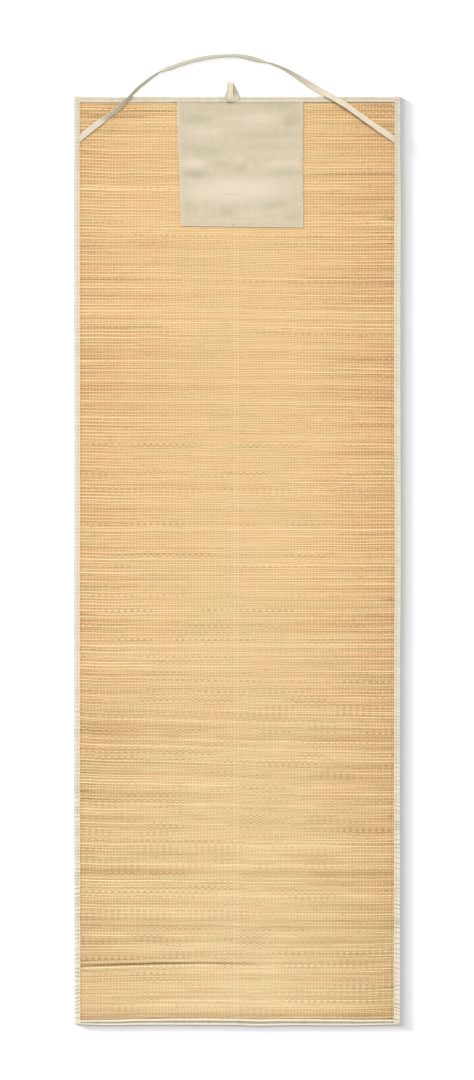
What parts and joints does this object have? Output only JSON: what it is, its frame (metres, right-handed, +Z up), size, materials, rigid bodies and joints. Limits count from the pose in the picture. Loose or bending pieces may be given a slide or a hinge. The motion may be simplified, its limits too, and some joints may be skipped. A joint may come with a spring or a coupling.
{
  "type": "straw beach mat",
  "caption": "Flat woven straw mat with cloth tape round its edges, a sewn cloth patch, a hang loop and a carry strap at its head end.",
  "frame": {"origin": "on the floor, under the middle of the straw between the four taped edges", "axes": "+Y along the mat towards its head end with the patch and the strap, +X across it to the right, +Z up from the floor"},
  "size_m": [0.6005, 1.7798, 0.0163],
  "materials": {
    "straw": "woven natural straw, satin",
    "edge_tape": "plain cotton tape, matt",
    "patch_cloth": "fine plain cloth, soft sheen",
    "strap_tape": "folded cotton tape, matt"
  },
  "bodies": {
    "root": {"straw_panel": "straw", "binding_left": "edge_tape", "binding_right": "edge_tape", "binding_top": "edge_tape", "binding_bottom": "edge_tape", "head_patch": "patch_cloth", "carry_strap": "strap_tape", "hang_loop": "strap_tape"}
  },
  "joints": []
}
